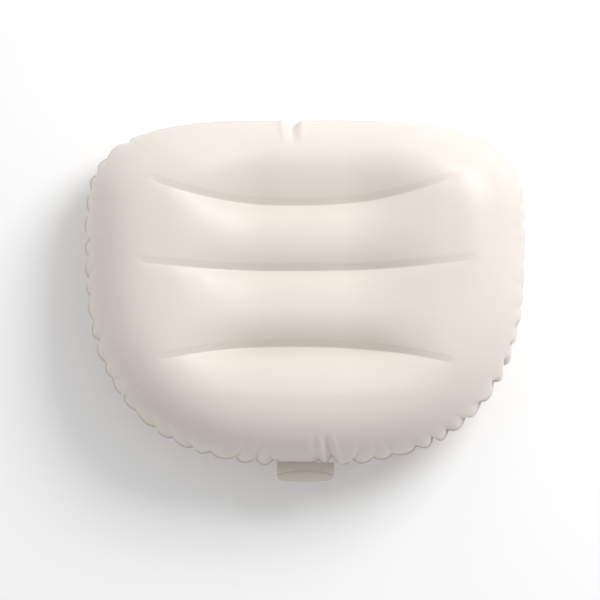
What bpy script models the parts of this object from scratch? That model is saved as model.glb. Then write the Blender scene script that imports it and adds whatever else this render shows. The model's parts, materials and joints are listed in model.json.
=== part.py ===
"""Inflatable camp pillow with internal webs, a seam tab and a two-stage air valve.

The head edge faces +Y and the neck edge faces -Y. The pillow is shown inflated, resting on
z = 0 on the crowns of its head tube and neck tube. All lengths are in metres.
"""

import math

import bmesh
import bpy
from mathutils import Matrix, Vector

# Plan outline: two half superellipses that meet on the widest line
HALF_WIDTH = 0.200
HEAD_DEPTH = 0.1102
NECK_DEPTH = 0.2035
HEAD_EXPONENT = 3.53
NECK_EXPONENT = 2.70

# Film, seam and webs
FILM = 0.0004
GAP = 0.0003
SEAM_MARGIN = 0.004
WEB_HALF_HEIGHT = 0.036
WEB_GAP = 0.0005
WEB_FLANGE = 0.007
CONTACT_DEPTH = 0.0012

# Creases, measured from the widest line: place at the centre, and at the ends of the crown zone
HEAD_CREASE = 0.0326
MIDDLE_CREASE = -0.0278
NECK_CREASE = -0.0974
HEAD_CREASE_END = 0.85
MIDDLE_CREASE_END = -0.14
NECK_CREASE_END = -0.727
FADE_START = 0.6
HEAD_CORNER = 0.62
NECK_CORNER = 0.55

# Mesh density
COLUMNS = 16
HEAD_ROWS = 3
HEAD_PANEL_ROWS = 5
NECK_PANEL_ROWS = 5
NECK_ROWS = 3
RIM_RINGS = 6
RING_CROWDING = 1.4
SEGMENTS = 32

# Seam tab
TAB_WIDTH = 0.052
TAB_LENGTH = 0.0138
TAB_CORNER = 0.005
TAB_UPPER_LENGTH = 0.0087
TAB_UPPER_CORNER = 0.0015
TAB_UPPER_ARCH = 0.003
TAB_LOWER_ARCH = -0.0008
TAB_ROOT_GAP = 0.001

# Air valve, measured along its own axis from the flat patch it sits on
VALVE_ACROSS = 0.5
VALVE_ANGLE = math.radians(-38)
VALVE_SINK = 0.0012
PATCH_RADIUS = 0.0172
PATCH_REACH = 0.0215
HOLE_RADIUS = 0.0095
FLANGE_RADIUS = 0.015
FLANGE_TOP = 0.0011
FLANGE_BEVEL = 0.0008
COLLAR_OUTER = 0.0090
COLLAR_INNER = 0.0080
COLLAR_BOTTOM = -0.0060
COLLAR_TOP = 0.0024
COLLAR_BEVEL = 0.0002
PLUG_OUTER = COLLAR_INNER - GAP
PORT_RADIUS = 0.0050
PLUG_BOTTOM = -0.0055
PLUG_TIP_TAPER = 0.0004
PLUG_TIP_HEIGHT = 0.0008
PLUG_RIM_RADIUS = 0.0098
PLUG_RIM_BOTTOM = COLLAR_TOP + GAP
PLUG_RIM_TOP = PLUG_RIM_BOTTOM + 0.001
PLUG_RIM_BEVEL = 0.0003
FLAP_RADIUS = 0.0068
FLAP_THICKNESS = 0.0005
FLAP_AXIS = -FLAP_RADIUS
CAP_RADIUS = 0.0086
CAP_BOTTOM = PLUG_RIM_TOP + GAP
CAP_TOP = CAP_BOTTOM + 0.0012
CAP_BEVEL = 0.0004
SPIGOT_LENGTH = 0.0028
SPIGOT_RADIUS = 0.0044
SPIGOT_TIP_TAPER = 0.0005
SPIGOT_TIP_HEIGHT = 0.0010
THUMB_REACH = 0.0035
THUMB_HALF_WIDTH = 0.0030
HINGE_OUT = 0.0115
HINGE_UP = CAP_BOTTOM + 0.0002
BARREL_RADIUS = 0.0010
PIN_RADIUS = 0.0005
PIN_HOLE_RADIUS = 0.0008
TONGUE_HALF_WIDTH = 0.0018
LUG_HALF_WIDTH = 0.0038
PIN_HALF_LENGTH = 0.0034
LUG_WALL = 0.0013
BITE = 0.0010
STEP = 0.0001

# Each outer tube's sheet is one circular arc from the web to the seam
HEAD_REACH = HEAD_DEPTH - SEAM_MARGIN - HEAD_CREASE
NECK_REACH = NECK_DEPTH - SEAM_MARGIN + NECK_CREASE
HEAD_RADIUS = (HEAD_REACH**2 + WEB_HALF_HEIGHT**2) / (2 * HEAD_REACH)
NECK_RADIUS = (NECK_REACH**2 + WEB_HALF_HEIGHT**2) / (2 * NECK_REACH)

# The floor touches both outer tubes, which tilts the seam plane
HEAD_CROWN = HEAD_DEPTH - SEAM_MARGIN - HEAD_RADIUS
NECK_CROWN = NECK_RADIUS + SEAM_MARGIN - NECK_DEPTH
TILT = math.asin((NECK_RADIUS - HEAD_RADIUS) / (HEAD_CROWN - NECK_CROWN))
SEAM_HEIGHT = HEAD_CROWN * math.sin(TILT) + HEAD_RADIUS - CONTACT_DEPTH
WIDEST_Y = (NECK_DEPTH + TAB_ROOT_GAP + TAB_LENGTH - HEAD_DEPTH) / 2


def clear_scene():
    """Remove every object that the scene starts with."""
    for leftover in list(bpy.data.objects):
        bpy.data.objects.remove(leftover, do_unlink=True)


def make_material(name, colour, roughness, metallic=0.0):
    """A plain Principled BSDF material."""
    material = bpy.data.materials.new(name)
    material.use_nodes = True
    shader = material.node_tree.nodes["Principled BSDF"]
    shader.inputs["Base Color"].default_value = (*colour, 1)
    shader.inputs["Roughness"].default_value = roughness
    shader.inputs["Metallic"].default_value = metallic
    return material


def upper_vinyl():
    return make_material("upper_vinyl", (0.84, 0.78, 0.70), 0.42)


def lower_vinyl():
    return make_material("lower_vinyl", (0.82, 0.76, 0.68), 0.45)


def web_vinyl(name):
    return make_material(name, (0.78, 0.74, 0.68), 0.5)


def tab_vinyl(name):
    return make_material(name, (0.76, 0.70, 0.62), 0.4)


def moulded_tpu(name):
    return make_material(name, (0.80, 0.76, 0.70), 0.35)


def clear_silicone():
    return make_material("clear_silicone", (0.70, 0.70, 0.68), 0.3)


def add_object(name, bm, material, parent=None):
    """Turn a bmesh into a named object with its material."""
    mesh = bpy.data.meshes.new(name)
    bm.to_mesh(mesh)
    bm.free()
    mesh.materials.append(material)
    obj = bpy.data.objects.new(name, mesh)
    bpy.context.scene.collection.objects.link(obj)
    obj.parent = parent
    return obj


def add_frame(name, matrix, parent=None):
    """An empty that marks a joint axis or a part's own frame."""
    empty = bpy.data.objects.new(name, None)
    empty.matrix_local = matrix
    empty.parent = parent
    bpy.context.scene.collection.objects.link(empty)
    return empty


def add_thickness(obj):
    """Give an open sheet the film's thickness, on its inner side."""
    solidify = obj.modifiers.new("thickness", "SOLIDIFY")
    solidify.thickness = FILM
    solidify.offset = -1
    solidify.use_even_offset = True


def smoothstep(low, high, value):
    share = min(1, max(0, (value - low) / (high - low)))
    return share * share * (3 - 2 * share)


def mix(first, second, share):
    return first + (second - first) * share


class Spoke:
    """A line across the rim, at one place on the plan outline.

    across and along are the place's x and y as shares of the outline's half axes.
    """

    def __init__(self, across, along):
        self.across = across
        self.along = along
        self.radius = mix(NECK_RADIUS, HEAD_RADIUS, (along + 1) / 2)

    def place(self, inset):
        """Plan position of the point that lies inset from the outline."""
        depth = HEAD_DEPTH if self.along >= 0 else NECK_DEPTH
        return self.across * (HALF_WIDTH - inset), self.along * (depth - inset)

    def rim_point(self, angle):
        """Point on the round rim, from the seam at angle 0 to the crown at a right angle."""
        x, y = self.place(SEAM_MARGIN + self.radius * (1 - math.cos(angle)))
        return x, y, max(FILM + GAP / 2, self.radius * math.sin(abs(angle)))

    def crown(self):
        return self.rim_point(math.pi / 2)


def spoke_across(along, side):
    """The spoke at a given share of the depth, on the side +1 or -1."""
    exponent = HEAD_EXPONENT if along >= 0 else NECK_EXPONENT
    return Spoke(side * (1 - abs(along) ** exponent) ** (1 / exponent), along)


def spoke_along(across, end):
    """The spoke at a given share of the half width, on the head end +1 or the neck end -1."""
    exponent = HEAD_EXPONENT if end > 0 else NECK_EXPONENT
    return Spoke(across, end * (1 - abs(across) ** exponent) ** (1 / exponent))


def side_spokes(side):
    """Spokes down one side, from the head corner to the neck corner, in four bands."""
    bands = []
    head_end = spoke_across(HEAD_CREASE_END, side).across
    neck_end = spoke_across(NECK_CREASE_END, side).across
    steps = [i / HEAD_ROWS for i in range(HEAD_ROWS + 1)]
    bands.append([spoke_along(mix(side * HEAD_CORNER, head_end, s), 1) for s in steps])
    steps = [i / HEAD_PANEL_ROWS for i in range(HEAD_PANEL_ROWS + 1)]
    bands.append([spoke_across(mix(HEAD_CREASE_END, MIDDLE_CREASE_END, s), side) for s in steps])
    steps = [i / NECK_PANEL_ROWS for i in range(NECK_PANEL_ROWS + 1)]
    bands.append([spoke_across(mix(MIDDLE_CREASE_END, NECK_CREASE_END, s), side) for s in steps])
    steps = [i / NECK_ROWS for i in range(NECK_ROWS + 1)]
    bands.append([spoke_along(mix(neck_end, side * NECK_CORNER, s), -1) for s in steps])
    return bands


def crease_row(centre, left, right):
    """Points along a crease, which sags as a parabola and fades out towards both ends."""
    row = []
    end_x, end_y, end_height = right.crown()
    for i in range(COLUMNS + 1):
        share = 2 * i / COLUMNS - 1
        height = mix(WEB_HALF_HEIGHT, end_height, smoothstep(FADE_START, 1, abs(share)))
        row.append((share * end_x, mix(centre, end_y, share**2), height))
    row[0] = left.crown()
    row[-1] = right.crown()
    return row


def edge_row(corner, end):
    """Crown line of the head tube or the neck tube, between its corners."""
    steps = [2 * i / COLUMNS - 1 for i in range(COLUMNS + 1)]
    return [spoke_along(corner * s, end).crown() for s in steps]


def panel_point(upper, lower, share, lift):
    """Point between two rows, on the arc of a sheet under pressure."""
    x = mix(upper[0], lower[0], share)
    y = mix(upper[1], lower[1], share)
    square = mix(upper[2] ** 2, lower[2] ** 2, share)
    square += lift * (upper[1] - y) * (y - lower[1])
    return x, y, math.sqrt(square)


def crown_grid():
    """Rows of points over the crown zone, from the head edge to the neck edge.

    Returns the rows and the index of each crease's row.
    """
    left, right = side_spokes(-1), side_spokes(1)
    keys = [edge_row(HEAD_CORNER, 1)]
    for band, centre in enumerate((HEAD_CREASE, MIDDLE_CREASE, NECK_CREASE)):
        keys.append(crease_row(centre, left[band][-1], right[band][-1]))
    keys.append(edge_row(NECK_CORNER, -1))
    rows, creases = [], []
    for band in range(4):
        count = len(left[band]) - 1
        for step in range(count):
            share = step / count
            ends = left[band][step].crown(), right[band][step].crown()
            rows.append(banded_row(keys[band], keys[band + 1], share, ends))
        creases.append(len(rows))
    rows.append(keys[4])
    return rows, creases[:3]


def banded_row(upper, lower, share, ends):
    """One row between two key rows, moved at its ends onto the rim's crown."""
    row = []
    for i in range(COLUMNS + 1):
        side = abs(2 * i / COLUMNS - 1)
        lift = 1 - smoothstep(FADE_START, 1, side)
        row.append(panel_point(upper[i], lower[i], share, lift))
    shift_left = [ends[0][k] - row[0][k] for k in range(3)]
    shift_right = [ends[1][k] - row[-1][k] for k in range(3)]
    moved = []
    for i, point in enumerate(row):
        share_right = i / COLUMNS
        moved.append(
            tuple(point[k] + mix(shift_left[k], shift_right[k], share_right) for k in range(3))
        )
    return moved


def side_list(side):
    """The spokes down one side, one for each row of the crown zone."""
    bands = side_spokes(side)
    return bands[0][:1] + [spoke for band in bands for spoke in band[1:]]


def rim_loop():
    """All spokes in order around the crown zone, matching crown_border."""
    steps = [2 * i / COLUMNS - 1 for i in range(COLUMNS + 1)]
    top = [spoke_along(HEAD_CORNER * s, 1) for s in steps]
    bottom = [spoke_along(NECK_CORNER * s, -1) for s in steps]
    return top + side_list(1)[1:] + bottom[-2::-1] + side_list(-1)[-2:0:-1]


def crown_border(rows):
    """Indices (row, column) of the crown zone's border, in the order of rim_loop."""
    last = len(rows) - 1
    border = [(0, i) for i in range(COLUMNS + 1)]
    border += [(r, COLUMNS) for r in range(1, last + 1)]
    border += [(last, i) for i in range(COLUMNS - 1, -1, -1)]
    border += [(r, 0) for r in range(last - 1, 0, -1)]
    return border


def tilt_matrix():
    """From the seam plane's own frame to the world."""
    lift = Matrix.Translation((0, WIDEST_Y, SEAM_HEIGHT))
    return lift @ Matrix.Rotation(-TILT, 4, "X")


def placed(point, side):
    """World position of a sheet's point, kept above the floor."""
    spot = tilt_matrix() @ Vector((point[0], point[1], side * point[2]))
    spot.z = max(0, spot.z)
    return spot


def add_split_quad(bm, corners, side):
    """Two triangles for a twisted four-sided cell, bulging towards the side +1 (up) or -1."""
    a, b, c, d = corners
    if side * (a.co.z + c.co.z) > side * (b.co.z + d.co.z):
        halves = (a, b, c), (a, c, d)
    else:
        halves = (a, b, d), (b, c, d)
    for half in halves:
        bm.faces.new(half)


def sheet_surface(side, rows):
    """Outer surface of one sheet as a bmesh: side +1 is the upper sheet and -1 the lower."""

    def put(point):
        return bm.verts.new(placed(point, side))

    bm = bmesh.new()
    grid = [[put(point) for point in row] for row in rows]
    for upper, lower in zip(grid, grid[1:]):
        for i in range(COLUMNS):
            add_split_quad(bm, (upper[i], lower[i], lower[i + 1], upper[i + 1])[::side], side)
    inner = [grid[r][i] for r, i in crown_border(rows)]
    spokes = rim_loop()
    for ring in range(1, RIM_RINGS + 1):
        angle = math.pi / 2 * (1 - (ring / RIM_RINGS) ** RING_CROWDING)
        outer = [put(spoke.rim_point(angle)) for spoke in spokes]
        join_rings(bm, inner, outer, side)
        inner = outer
    seam_edge = [put((*spoke.place(0), FILM + GAP / 2)) for spoke in spokes]
    join_rings(bm, inner, seam_edge, side)
    return bm


def join_rings(bm, inner, outer, side):
    """Faces between two rings of vertices with the same count."""
    count = len(inner)
    for k in range(count):
        n = (k + 1) % count
        bm.faces.new((inner[k], inner[n], outer[n], outer[k])[::side])


def valve_matrix(step=0.01):
    """The valve's frame: Z points out of the lower sheet and X runs along the rim."""
    spoke = spoke_along(VALVE_ACROSS, -1)
    place = tilt_matrix()

    def surface(target, angle):
        x, y, height = target.rim_point(angle)
        return place @ Vector((x, y, -height))

    centre = surface(spoke, VALVE_ANGLE)
    across = surface(spoke_along(VALVE_ACROSS + step, -1), VALVE_ANGLE) - centre
    around = surface(spoke, VALVE_ANGLE - step) - centre
    normal = around.cross(across).normalized()
    if normal.z > 0:
        normal.negate()
    along = (across - across.dot(normal) * normal).normalized()
    turn = Matrix((along, normal.cross(along), normal)).transposed().to_4x4()
    return Matrix.Translation(centre - VALVE_SINK * normal) @ turn


def circle_of_verts(bm, frame, radius):
    """A ring of vertices in the frame's own plane."""
    angles = [math.tau * k / SEGMENTS for k in range(SEGMENTS)]
    spots = [Vector((radius * math.cos(a), radius * math.sin(a), 0)) for a in angles]
    return [bm.verts.new(frame @ spot) for spot in spots]


def cut_valve_patch(bm, frame):
    """Replace the lower sheet around the valve with a flat patch that has the valve's hole."""
    centre = frame.translation
    sheet_edge = {e for e in bm.edges if e.is_boundary}
    near = [f for f in bm.faces if any((v.co - centre).length < PATCH_REACH for v in f.verts)]
    bmesh.ops.delete(bm, geom=near, context="FACES")
    border = [e for e in bm.edges if e.is_boundary and e not in sheet_edge]
    outer = circle_of_verts(bm, frame, PATCH_RADIUS)
    inner = circle_of_verts(bm, frame, HOLE_RADIUS)
    for k in range(SEGMENTS):
        n = (k + 1) % SEGMENTS
        bm.faces.new((outer[k], outer[n], inner[n], inner[k]))
    ring = [bm.edges.get((outer[k - 1], outer[k])) for k in range(SEGMENTS)]
    bmesh.ops.bridge_loops(bm, edges=border + ring)
    bmesh.ops.recalc_face_normals(bm, faces=bm.faces[:])
    patch_face = inner[0].link_faces[0]
    if patch_face.normal.dot(frame.col[2].xyz) < 0:
        bmesh.ops.reverse_faces(bm, faces=bm.faces[:])


def build_upper_sheet(rows):
    bm = sheet_surface(1, rows)
    sheet = add_object("upper_sheet", bm, upper_vinyl())
    add_thickness(sheet)
    return sheet


def build_lower_sheet(rows):
    bm = sheet_surface(-1, rows)
    cut_valve_patch(bm, valve_matrix())
    sheet = add_object("lower_sheet", bm, lower_vinyl())
    add_thickness(sheet)
    return sheet


def web_edge(rows, row, column, side):
    """Where a web meets one sheet: the flange's tip and the fold between flange and wall."""
    crease, opposite = (placed(rows[row][column], s) for s in (side, -side))
    before, after = (placed(rows[row][column + step], side) for step in (-1, 1))
    rise = (placed(rows[row + 1][column], side) - crease).normalized()
    wall = (opposite - crease).normalized()
    facing = (after - before).cross(rise).normalized()
    fold = crease + wall * (FILM + WEB_GAP) / abs(facing.dot(wall))
    return fold + rise * WEB_FLANGE, fold


def build_web(name, row, rows):
    """A tie strip under one crease: a wall with a flange at each sheet, on its neck side."""
    bm = bmesh.new()
    stations = []
    for column in range(1, COLUMNS):
        upper_tip, upper_fold = web_edge(rows, row, column, 1)
        lower_tip, lower_fold = web_edge(rows, row, column, -1)
        profile = [upper_tip, upper_fold, lower_fold, lower_tip]
        stations.append([bm.verts.new(point) for point in profile])
    for first, second in zip(stations, stations[1:]):
        for k, bulge in enumerate((-1, 1, 1)):
            add_split_quad(bm, (first[k], second[k], second[k + 1], first[k + 1]), bulge)
    web = add_object(name, bm, web_vinyl(name + "_vinyl"))
    add_thickness(web)
    return web


def tab_outline(length, corner, arch, steps=8):
    """Plan outline of a tab ply in its own frame: the root on y = 0, the free edge towards -Y."""
    half = TAB_WIDTH / 2
    points = [(half, 0), (-half, 0)]
    for i in range(steps + 1):
        angle = math.pi / 2 * i / steps
        x = -half + corner * (1 - math.cos(angle))
        points.append((x, -length + corner * (1 - math.sin(angle))))
    inner = half - corner
    for i in range(1, 2 * steps):
        x = mix(-inner, inner, i / (2 * steps))
        points.append((x, -length + arch * (1 - (x / inner) ** 2)))
    for i in range(steps + 1):
        angle = math.pi / 2 * (1 - i / steps)
        x = half - corner * (1 - math.cos(angle))
        points.append((x, -length + corner * (1 - math.sin(angle))))
    return points


def build_tab_ply(name, outline, height, parent):
    """One flat ply of the tab, at a height from the seam plane."""
    bm = bmesh.new()
    ring = [bm.verts.new((x, y, height)) for x, y in outline]
    face = bm.faces.new(ring)
    raised = bmesh.ops.extrude_face_region(bm, geom=[face])
    top = [v for v in raised["geom"] if isinstance(v, bmesh.types.BMVert)]
    bmesh.ops.translate(bm, verts=top, vec=(0, 0, FILM))
    bmesh.ops.recalc_face_normals(bm, faces=bm.faces[:])
    return add_object(name, bm, tab_vinyl(name + "_vinyl"), parent)


def lathe(profile, segments=SEGMENTS):
    """A closed ring turned about Z from (radius, height) corners that are off the axis."""
    bm = bmesh.new()
    corners = [bm.verts.new((radius, 0, height)) for radius, height in profile]
    edges = [bm.edges.new((a, b)) for a, b in zip(corners, corners[1:] + corners[:1])]
    bmesh.ops.spin(
        bm,
        geom=corners + edges,
        cent=(0, 0, 0),
        axis=(0, 0, 1),
        angle=math.tau,
        steps=segments,
        use_merge=True,
    )
    bmesh.ops.remove_doubles(bm, verts=bm.verts[:], dist=1e-6)
    bmesh.ops.recalc_face_normals(bm, faces=bm.faces[:])
    return bm


def turned_plug(stations, segments=SEGMENTS):
    """A solid turned about Z from (radius, height) stations, closed by a face at each end."""
    bm = bmesh.new()
    rings = []
    for radius, height in stations:
        spots = [math.tau * k / segments for k in range(segments)]
        rings.append(
            [bm.verts.new((radius * math.cos(s), radius * math.sin(s), height)) for s in spots]
        )
    for lower, upper in zip(rings, rings[1:]):
        for k in range(segments):
            n = (k + 1) % segments
            bm.faces.new((lower[k], lower[n], upper[n], upper[k]))
    bm.faces.new(rings[0][::-1])
    bm.faces.new(rings[-1])
    return bm


def box(low, high):
    """A box between two corners."""
    bm = bmesh.new()
    bmesh.ops.create_cube(bm, size=1)
    size = [b - a for a, b in zip(low, high)]
    middle = [(a + b) / 2 for a, b in zip(low, high)]
    bmesh.ops.scale(bm, vec=size, verts=bm.verts[:])
    bmesh.ops.translate(bm, vec=middle, verts=bm.verts[:])
    return bm


def rod(radius, half_length, centre, segments=16):
    """A round rod along Y."""
    bm = bmesh.new()
    bmesh.ops.create_cone(
        bm,
        cap_ends=True,
        segments=segments,
        radius1=radius,
        radius2=radius,
        depth=2 * half_length,
        matrix=Matrix.Translation(centre) @ Matrix.Rotation(math.pi / 2, 4, "X"),
    )
    return bm


def add_boolean(target, tool_bm, name, operation, parent):
    """Join a shape to the target, or cut it out, with a hidden tool object."""
    mesh = bpy.data.meshes.new(name)
    tool_bm.to_mesh(mesh)
    tool_bm.free()
    tool = bpy.data.objects.new(name, mesh)
    bpy.context.scene.collection.objects.link(tool)
    tool.parent = parent
    tool.hide_render = True
    tool.display_type = "WIRE"
    modifier = target.modifiers.new(name, "BOOLEAN")
    modifier.operation = operation
    modifier.solver = "EXACT"
    modifier.object = tool


def build_valve_base(parent):
    """Welded flange with the collar that passes through the lower sheet."""
    profile = [
        (COLLAR_INNER, COLLAR_BOTTOM),
        (COLLAR_OUTER, COLLAR_BOTTOM),
        (COLLAR_OUTER, GAP),
        (FLANGE_RADIUS, GAP),
        (FLANGE_RADIUS, GAP + (FLANGE_TOP - GAP) / 2),
        (FLANGE_RADIUS - FLANGE_BEVEL, FLANGE_TOP),
        (COLLAR_OUTER, FLANGE_TOP),
        (COLLAR_OUTER, COLLAR_TOP - COLLAR_BEVEL),
        (COLLAR_OUTER - COLLAR_BEVEL, COLLAR_TOP),
        (COLLAR_INNER, COLLAR_TOP),
    ]
    return add_object("valve_base", lathe(profile), moulded_tpu("base_tpu"), parent)


def build_valve_plug(parent):
    """Push-in plug with the port, a rim to pull it out by, and the cap's hinge lugs."""
    profile = [
        (PORT_RADIUS, PLUG_BOTTOM),
        (PLUG_OUTER - PLUG_TIP_TAPER, PLUG_BOTTOM),
        (PLUG_OUTER, PLUG_BOTTOM + PLUG_TIP_HEIGHT),
        (PLUG_OUTER, PLUG_RIM_BOTTOM),
        (PLUG_RIM_RADIUS, PLUG_RIM_BOTTOM),
        (PLUG_RIM_RADIUS, PLUG_RIM_TOP - PLUG_RIM_BEVEL),
        (PLUG_RIM_RADIUS - PLUG_RIM_BEVEL, PLUG_RIM_TOP),
        (PORT_RADIUS, PLUG_RIM_TOP),
    ]
    plug = add_object("valve_plug", lathe(profile), moulded_tpu("plug_tpu"), parent)
    lug_low = (PLUG_RIM_RADIUS - BITE, -LUG_HALF_WIDTH, PLUG_RIM_BOTTOM + STEP)
    lug_high = (HINGE_OUT + LUG_WALL, LUG_HALF_WIDTH, HINGE_UP + LUG_WALL)
    add_boolean(plug, box(lug_low, lug_high), "lug_block", "UNION", parent)
    slot_side = TONGUE_HALF_WIDTH + GAP
    slot_low = (PLUG_RIM_RADIUS - 2 * BITE, -slot_side, PLUG_RIM_BOTTOM - BITE)
    slot_high = (HINGE_OUT + 2 * LUG_WALL, slot_side, HINGE_UP + 2 * LUG_WALL)
    add_boolean(plug, box(slot_low, slot_high), "lug_slot", "DIFFERENCE", parent)
    hole = rod(PIN_HOLE_RADIUS, LUG_HALF_WIDTH + BITE, (HINGE_OUT, 0, HINGE_UP))
    add_boolean(plug, hole, "pin_hole", "DIFFERENCE", parent)
    return plug


def build_check_flap(parent):
    """Silicone disc that closes the port from the inside, in the frame of its own hinge line."""
    bm = turned_plug([(FLAP_RADIUS, -FLAP_THICKNESS), (FLAP_RADIUS, 0)])
    bmesh.ops.translate(bm, verts=bm.verts[:], vec=(-FLAP_AXIS, 0, 0))
    return add_object("check_flap", bm, clear_silicone(), parent)


def build_valve_cap(parent):
    """Flip cap with its spigot, thumb tab, tongue and hinge pins, in the hinge's frame."""
    cap_drop = CAP_BOTTOM - HINGE_UP
    cap_rise = CAP_TOP - HINGE_UP
    stations = [
        (SPIGOT_RADIUS - SPIGOT_TIP_TAPER, cap_drop - SPIGOT_LENGTH),
        (SPIGOT_RADIUS, cap_drop - SPIGOT_LENGTH + SPIGOT_TIP_HEIGHT),
        (SPIGOT_RADIUS, cap_drop),
        (CAP_RADIUS, cap_drop),
        (CAP_RADIUS, cap_rise - CAP_BEVEL),
        (CAP_RADIUS - CAP_BEVEL, cap_rise),
    ]
    bm = turned_plug(stations)
    bmesh.ops.translate(bm, verts=bm.verts[:], vec=(-HINGE_OUT, 0, 0))
    cap = add_object("valve_cap", bm, moulded_tpu("cap_tpu"), parent)
    thumb_low = (-HINGE_OUT - CAP_RADIUS - THUMB_REACH, -THUMB_HALF_WIDTH, cap_drop + STEP)
    thumb_high = (-HINGE_OUT - CAP_RADIUS + BITE, THUMB_HALF_WIDTH, cap_rise - 2 * STEP)
    add_boolean(cap, box(thumb_low, thumb_high), "thumb_tab", "UNION", parent)
    tongue_low = (-HINGE_OUT + CAP_RADIUS - BITE, -TONGUE_HALF_WIDTH, cap_drop + STEP)
    tongue_high = (0, TONGUE_HALF_WIDTH, BARREL_RADIUS - STEP)
    add_boolean(cap, box(tongue_low, tongue_high), "tongue", "UNION", parent)
    barrel = rod(BARREL_RADIUS, TONGUE_HALF_WIDTH, (0, 0, 0))
    add_boolean(cap, barrel, "barrel", "UNION", parent)
    pins = rod(PIN_RADIUS, PIN_HALF_LENGTH, (0, 0, 0))
    add_boolean(cap, pins, "pins", "UNION", parent)
    return cap


def main():
    clear_scene()
    seam_frame = add_frame("seam_frame", tilt_matrix())
    rows, creases = crown_grid()
    build_upper_sheet(rows)
    build_lower_sheet(rows)
    for name, row in zip(("head_web", "middle_web", "neck_web"), creases):
        build_web(name, row, rows)
    tab_root = Matrix.Translation((0, -NECK_DEPTH - TAB_ROOT_GAP, 0))
    tab_hinge = add_frame("tab_hinge", tab_root, seam_frame)
    upper_edge = tab_outline(TAB_UPPER_LENGTH, TAB_UPPER_CORNER, TAB_UPPER_ARCH)
    build_tab_ply("tab_upper_ply", upper_edge, GAP / 2, tab_hinge)
    lower_edge = tab_outline(TAB_LENGTH, TAB_CORNER, TAB_LOWER_ARCH)
    build_tab_ply("tab_lower_ply", lower_edge, -GAP / 2 - FILM, tab_hinge)
    valve = add_frame("valve_frame", valve_matrix())
    build_valve_base(valve)
    build_valve_plug(valve)
    flap_place = Matrix.Translation((FLAP_AXIS, 0, PLUG_BOTTOM - GAP))
    build_check_flap(add_frame("flap_hinge", flap_place, valve))
    cap_place = Matrix.Translation((HINGE_OUT, 0, HINGE_UP))
    build_valve_cap(add_frame("cap_hinge", cap_place, valve))


main()
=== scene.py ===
"""Visual model of the inflatable camp pillow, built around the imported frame.

The shape of the two film sheets is worked out here: tubes between the creases that the webs hold,
and a welded rim that is gathered into puckers. A short cloth simulation under air pressure then
settles the rim, by less than half a millimetre. All lengths are in metres.
"""

import json
import math

import bpy
import numpy as np
from mathutils import Matrix, Vector


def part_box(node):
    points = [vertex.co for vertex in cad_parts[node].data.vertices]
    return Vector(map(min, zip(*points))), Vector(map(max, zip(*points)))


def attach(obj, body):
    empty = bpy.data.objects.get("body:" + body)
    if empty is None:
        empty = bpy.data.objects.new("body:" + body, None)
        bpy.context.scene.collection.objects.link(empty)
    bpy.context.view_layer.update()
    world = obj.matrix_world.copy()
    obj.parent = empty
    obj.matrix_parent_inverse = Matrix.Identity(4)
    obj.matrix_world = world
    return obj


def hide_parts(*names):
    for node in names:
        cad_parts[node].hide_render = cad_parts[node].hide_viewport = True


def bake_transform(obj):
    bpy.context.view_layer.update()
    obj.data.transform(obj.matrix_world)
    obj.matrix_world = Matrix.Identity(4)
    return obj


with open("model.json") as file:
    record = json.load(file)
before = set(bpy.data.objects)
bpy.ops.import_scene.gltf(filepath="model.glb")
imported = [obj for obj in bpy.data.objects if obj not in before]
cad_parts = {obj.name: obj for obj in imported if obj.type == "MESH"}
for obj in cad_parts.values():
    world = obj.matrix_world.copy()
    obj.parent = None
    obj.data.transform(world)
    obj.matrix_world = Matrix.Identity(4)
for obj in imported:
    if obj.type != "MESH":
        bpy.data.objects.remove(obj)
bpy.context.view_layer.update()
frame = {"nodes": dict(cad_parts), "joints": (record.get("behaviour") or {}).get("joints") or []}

# ---------------------------------------------------------------- sizes from the frame
UPPER_LOW, UPPER_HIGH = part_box("upper_sheet")
TAB_LOW, TAB_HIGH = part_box("tab_lower_ply")
TAB_UPPER_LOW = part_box("tab_upper_ply")[0]
JOINTS = {joint["name"]: joint for joint in frame["joints"]}
TAB_HINGE = Vector(JOINTS["tab_bend"]["pos_m"])
HEAD_SEAM = Vector((0, UPPER_HIGH.y, UPPER_LOW.z))
SLOPE = (TAB_HINGE - HEAD_SEAM).normalized()

# Plan outline: two half superellipses that meet on the widest line
HALF_WIDTH = UPPER_HIGH.x
DEPTH = (UPPER_HIGH.y - UPPER_LOW.y) / abs(SLOPE.y)
HEAD_SHARE = 0.3513
HEAD_DEPTH = HEAD_SHARE * DEPTH
NECK_DEPTH = DEPTH - HEAD_DEPTH
HEAD_EXPONENT = 3.53
NECK_EXPONENT = 2.70
BISECTIONS = 40

# Film, seam and webs. The visual webs' flanges are on the head side, and the CAD's on the neck side.
FILM = 0.0004
SEAM_INSET = 0.0050
SEAM_GAP = 0.0001
WELD_WIDTH = 0.0014
WELD_RING_SHARES = (0.6, 1.0)
WEB_HALF_HEIGHT = 0.0345
WEB_THICKNESS = 0.0003
WEB_CLEARANCE = 0.0011
WEB_FLANGE_ROWS = 7
WEB_WALL_ROWS = 12
WEB_SLACK = 0.0010
WEB_SLACK_START = 0.6
WEB_WAVES = 9
WEB_WAVE_DRIFT = 4

# Welded band on the head side of each crease: a shallow step, and a ledge down to the crease
BAND_WIDTH = 0.0060
BAND_STEP = 0.00025
BAND_SOFTNESS = 0.0007
BAND_DROP = 0.0011
BAND_RECOVERY = 0.010
BAND_END_RUN = 0.010
BAND_OVERRUN = 0.001
LEDGE_POWER_HEADWARDS = 1.2
LEDGE_POWER_NECKWARDS = 2
LEDGE_AT_ENDS = 0.4
CREASE_ROUNDING = 0.0007

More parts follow.
